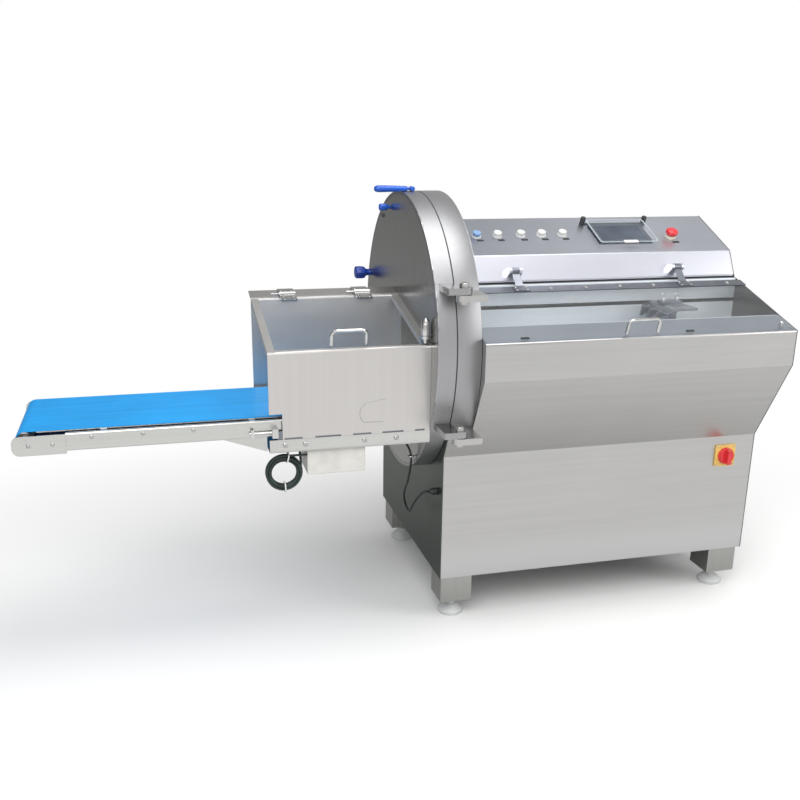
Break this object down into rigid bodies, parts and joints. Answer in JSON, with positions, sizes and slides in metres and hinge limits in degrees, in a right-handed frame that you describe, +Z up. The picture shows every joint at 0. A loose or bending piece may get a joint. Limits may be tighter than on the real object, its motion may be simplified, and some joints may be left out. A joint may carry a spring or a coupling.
{
  "type": "frozen meat slicer",
  "caption": "Floor-standing slicer for frozen meat: cabinet with feed trough and control console, round blade housing with swinging door, outfeed guard and belt conveyor",
  "frame": {"origin": "centre of the machine's footprint box, on the floor", "axes": "+X from the conveyor's end towards the cabinet's right end, +Y from the operator's side to the back, +Z up"},
  "size_m": [2.235, 0.9004, 1.3105],
  "materials": {
    "brushed_panel": "brushed stainless sheet",
    "frame_steel": "welded stainless tube",
    "bright_fittings": "bright stainless fittings",
    "blade_steel": "ground blade",
    "drive_iron": "dark machined iron",
    "motor_paint": "grey paint",
    "belt_rubber": "black rubber",
    "clear_sheet": "clear rigid sheet",
    "blue_plastic": "blue plastic",
    "white_plastic": "off-white plastic",
    "red_plastic": "red plastic",
    "yellow_plastic": "yellow plastic",
    "screen": "dark touch screen",
    "conveyor_blue": "blue food belt",
    "cable_black": "black cable sheath"
  },
  "bodies": {
    "machine": {"base_frame": "frame_steel", "left_side_panel": "brushed_panel", "right_end_panel": "brushed_panel", "front_sheet": "brushed_panel", "console_sheet": "brushed_panel", "rear_cover": "brushed_panel", "feed_bed": "brushed_panel", "trough_upper_wall": "brushed_panel", "fixed_blade_shell": "brushed_panel", "bearing_housing": "drive_iron", "drive_belt": "belt_rubber", "drive_motor": "motor_paint", "guide_rail": "bright_fittings", "feed_gearmotor": "motor_paint", "screen_panel": "screen", "main_switch_plate": "yellow_plastic", "cable_gland": "cable_black"},
    "blade_rotor": {"blade": "blade_steel", "blade_shaft": "bright_fittings", "driven_pulley": "drive_iron"},
    "motor_rotor": {"motor_pulley": "drive_iron"},
    "screw": {"feed_screw": "bright_fittings"},
    "feed_carriage": {"carriage": "bright_fittings"},
    "claws": {"gripper_claws": "bright_fittings"},
    "cover": {"feed_cover": "clear_sheet", "feed_cover_fittings": "bright_fittings", "feed_cover_handle": "bright_fittings"},
    "screen_flap": {"screen_cover": "clear_sheet"},
    "stop": {"stop_button": "red_plastic"},
    "button_1": {"push_button_1": "blue_plastic"},
    "button_2": {"push_button_2": "white_plastic"},
    "button_3": {"push_button_3": "white_plastic"},
    "button_4": {"push_button_4": "white_plastic"},
    "button_5": {"push_button_5": "white_plastic"},
    "main_switch": {"main_switch_knob": "red_plastic"},
    "door": {"blade_door": "brushed_panel", "guard_box": "brushed_panel", "guard_tray": "brushed_panel", "guard_lid_hinge_left": "bright_fittings", "guard_lid_hinge_right": "bright_fittings", "conveyor_frame": "brushed_panel", "conveyor_nose": "brushed_panel", "conveyor_belt": "conveyor_blue", "conveyor_control_box": "white_plastic", "cable_coil": "cable_black", "motor_cable": "cable_black", "cable_clip": "bright_fittings", "latch_bracket": "bright_fittings"},
    "lid": {"guard_lid": "clear_sheet", "guard_lid_leaf_left": "bright_fittings", "guard_lid_leaf_right": "bright_fittings", "guard_lid_handle": "bright_fittings"},
    "pull_pin": {"lid_pull_pin": "bright_fittings"},
    "driven_roller": {"drive_roller": "bright_fittings"},
    "end_roller": {"nose_roller": "bright_fittings"},
    "top_clamp": {"top_clamp_lever": "blue_plastic"},
    "small_clamp": {"small_clamp_knob": "blue_plastic"},
    "rear_clamp": {"rear_clamp_knob": "blue_plastic"},
    "latch": {"latch_screw": "bright_fittings"}
  },
  "joints": [
    {"name": "door_swing", "type": "hinge", "parent": "machine", "child": "door", "pos_m": [0.0695, -0.42775, 0.627], "axis": [0, 0, 1], "range_deg": [0, 100]},
    {"name": "blade_spin", "type": "hinge", "parent": "machine", "child": "blade_rotor", "pos_m": [0.1201, 0.02225, 0.862], "axis": [1, 0, 0], "continuous": true},
    {"name": "motor_spin", "type": "hinge", "parent": "machine", "child": "motor_rotor", "pos_m": [0.2995, 0.15025, 0.33], "axis": [1, 0, 0], "continuous": true},
    {"name": "carriage_feed", "type": "slide", "parent": "machine", "child": "feed_carriage", "axis": [1, 0, 0], "range_m": [-0.6, 0.15]},
    {"name": "screw_spin", "type": "hinge", "parent": "machine", "child": "screw", "pos_m": [0.1354, -0.06475, 0.905], "axis": [1, 0, 0], "range_deg": [-10810, 2710]},
    {"name": "claw_lift", "type": "hinge", "parent": "feed_carriage", "child": "claws", "pos_m": [0.7905, -0.26975, 0.933], "axis": [0, 1, 0], "range_deg": [0, 30]},
    {"name": "feed_cover_swing", "type": "hinge", "parent": "machine", "child": "cover", "pos_m": [0.1394, -0.09325, 1.056], "axis": [-1, 0, 0], "range_deg": [0, 100]},
    {"name": "screen_cover_swing", "type": "hinge", "parent": "machine", "child": "screen_flap", "pos_m": [0.7675, 0.10369, 1.18665], "axis": [-1, 0, 0], "range_deg": [0, 100]},
    {"name": "stop_press", "type": "slide", "parent": "machine", "child": "stop", "axis": [0, 0.4239, -0.9057], "range_m": [0, 0.004]},
    {"name": "button_1_press", "type": "slide", "parent": "machine", "child": "button_1", "axis": [0, 0.4239, -0.9057], "range_m": [0, 0.003], "stiffness_N_per_m": 400},
    {"name": "button_2_press", "type": "slide", "parent": "machine", "child": "button_2", "axis": [0, 0.4239, -0.9057], "range_m": [0, 0.003], "stiffness_N_per_m": 400},
    {"name": "button_3_press", "type": "slide", "parent": "machine", "child": "button_3", "axis": [0, 0.4239, -0.9057], "range_m": [0, 0.003], "stiffness_N_per_m": 400},
    {"name": "button_4_press", "type": "slide", "parent": "machine", "child": "button_4", "axis": [0, 0.4239, -0.9057], "range_m": [0, 0.003], "stiffness_N_per_m": 400},
    {"name": "button_5_press", "type": "slide", "parent": "machine", "child": "button_5", "axis": [0, 0.4239, -0.9057], "range_m": [0, 0.003], "stiffness_N_per_m": 400},
    {"name": "main_switch_turn", "type": "hinge", "parent": "machine", "child": "main_switch", "pos_m": [1.0135, -0.30575, 0.478], "axis": [0, 1, 0], "range_deg": [0, 90]},
    {"name": "guard_lid_swing", "type": "hinge", "parent": "door", "child": "lid", "pos_m": [-0.4505, 0.0327, 0.9876], "axis": [-1, 0, 0], "range_deg": [0, 80]},
    {"name": "lid_pin_pull", "type": "slide", "parent": "door", "child": "pull_pin", "axis": [0, 0, 1], "range_m": [0, 0.008], "stiffness_N_per_m": 300},
    {"name": "drive_roller_spin", "type": "hinge", "parent": "door", "child": "driven_roller", "pos_m": [-0.0405, -0.31375, 0.682], "axis": [0, 1, 0], "continuous": true},
    {"name": "nose_roller_spin", "type": "hinge", "parent": "door", "child": "end_roller", "pos_m": [-1.0845, -0.31375, 0.682], "axis": [0, 1, 0], "continuous": true},
    {"name": "top_clamp_swing", "type": "hinge", "parent": "door", "child": "top_clamp", "pos_m": [0.0405, 0.00025, 1.2975], "axis": [0, 1, 0], "range_deg": [0, 90]},
    {"name": "small_clamp_turn", "type": "hinge", "parent": "door", "child": "small_clamp", "pos_m": [0.0082, 0.14225, 1.234], "axis": [1, 0, 0], "continuous": true},
    {"name": "rear_clamp_turn", "type": "hinge", "parent": "door", "child": "rear_clamp", "pos_m": [0.0082, 0.40825, 0.994], "axis": [1, 0, 0], "continuous": true},
    {"name": "latch_turn", "type": "hinge", "parent": "door", "child": "latch", "pos_m": [-0.4355, -0.34405, 0.667], "axis": [1, 0, 0], "continuous": true}
  ],
  "couplings": [
    {"joint": "motor_spin", "follows": "blade_spin", "ratio": 1.5},
    {"joint": "screw_spin", "follows": "carriage_feed", "rad_per_m": 314.16},
    {"joint": "nose_roller_spin", "follows": "drive_roller_spin", "ratio": 1}
  ]
}
